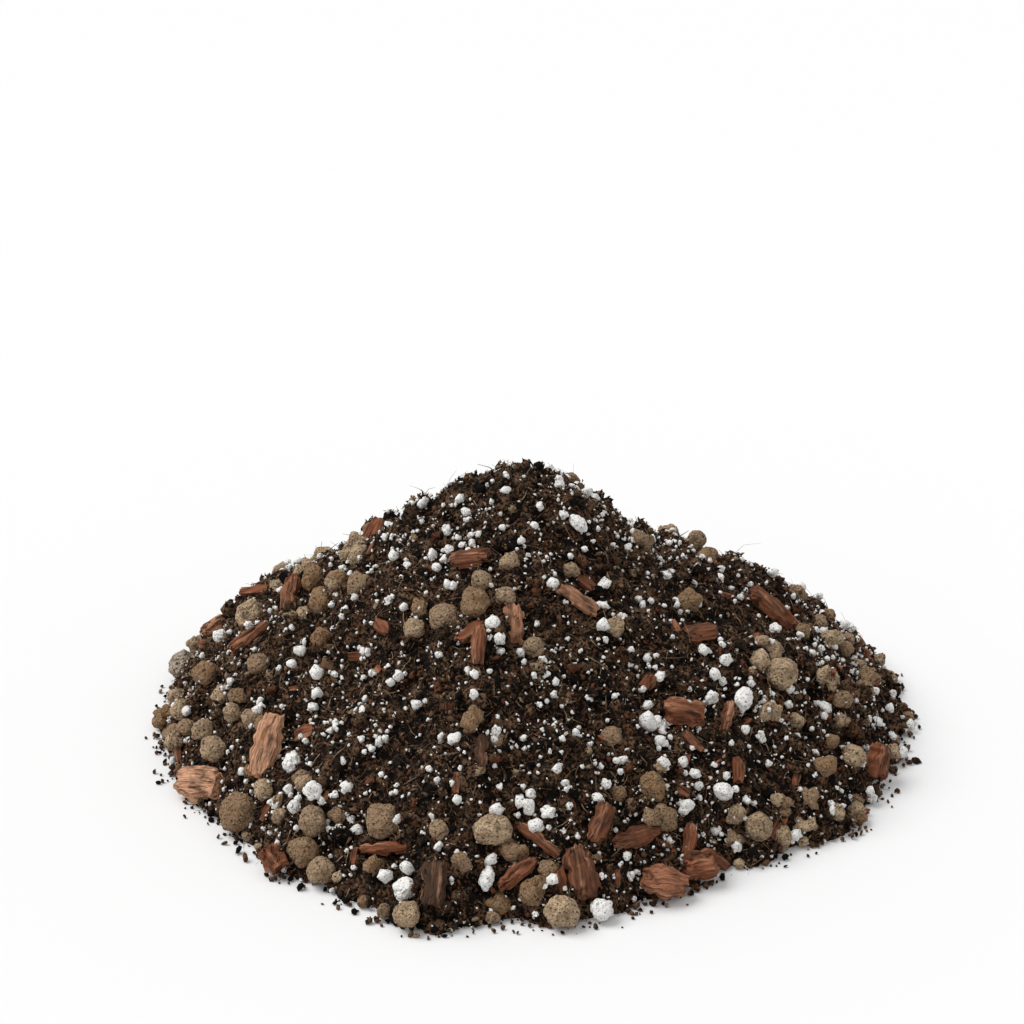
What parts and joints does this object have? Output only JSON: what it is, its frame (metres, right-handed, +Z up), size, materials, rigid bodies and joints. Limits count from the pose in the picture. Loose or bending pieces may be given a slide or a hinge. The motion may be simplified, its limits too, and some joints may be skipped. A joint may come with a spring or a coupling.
{
  "type": "heap of potting compost",
  "caption": "Loose heap of dark potting compost on a flat underside, with bark chips, clay pebbles and white perlite grains lying in its surface.",
  "frame": {"origin": "middle of the heap's foot, on its flat underside", "axes": "+Z up; the side seen in the picture faces -Y; +X to the right there"},
  "size_m": [0.244, 0.2359, 0.0931],
  "materials": {
    "peat": "rough, crumbly and fibrous, slightly moist",
    "bark": "split, grained and matt",
    "clay": "fired, porous and unglazed",
    "stone": "broken and matt",
    "perlite": "expanded volcanic glass, porous and matt white"
  },
  "bodies": {
    "root": {"bark_chip_01": "bark", "bark_chip_02": "bark", "bark_chip_03": "bark", "bark_chip_04": "bark", "bark_chip_05": "bark", "bark_chip_06": "bark", "bark_chip_07": "bark", "bark_chip_08": "bark", "bark_chip_09": "bark", "bark_chip_10": "bark", "bark_chip_11": "bark", "bark_chip_12": "bark", "bark_chip_13": "bark", "bark_chip_14": "bark", "bark_chip_15": "bark", "bark_chip_16": "bark", "bark_chip_17": "bark", "bark_chip_18": "bark", "bark_chip_19": "bark", "bark_chip_20": "bark", "bark_chip_21": "bark", "bark_chip_22": "bark", "bark_chip_23": "bark", "bark_chip_24": "bark", "clay_pebble_01": "clay", "clay_pebble_02": "clay", "clay_pebble_03": "clay", "clay_pebble_04": "clay", "clay_pebble_05": "clay", "clay_pebble_06": "clay", "clay_pebble_07": "clay", "clay_pebble_08": "clay", "clay_pebble_09": "clay", "clay_pebble_10": "clay", "clay_pebble_11": "clay", "clay_pebble_12": "clay", "clay_pebble_13": "clay", "clay_pebble_14": "clay", "clay_pebble_15": "clay", "clay_pebble_16": "clay", "clay_pebble_17": "clay", "compost_mound": "peat", "grey_stone": "stone", "perlite_grain_01": "perlite", "perlite_grain_02": "perlite", "perlite_grain_03": "perlite", "perlite_grain_04": "perlite", "perlite_grain_05": "perlite", "perlite_grain_06": "perlite", "perlite_grain_07": "perlite"}
  },
  "joints": []
}
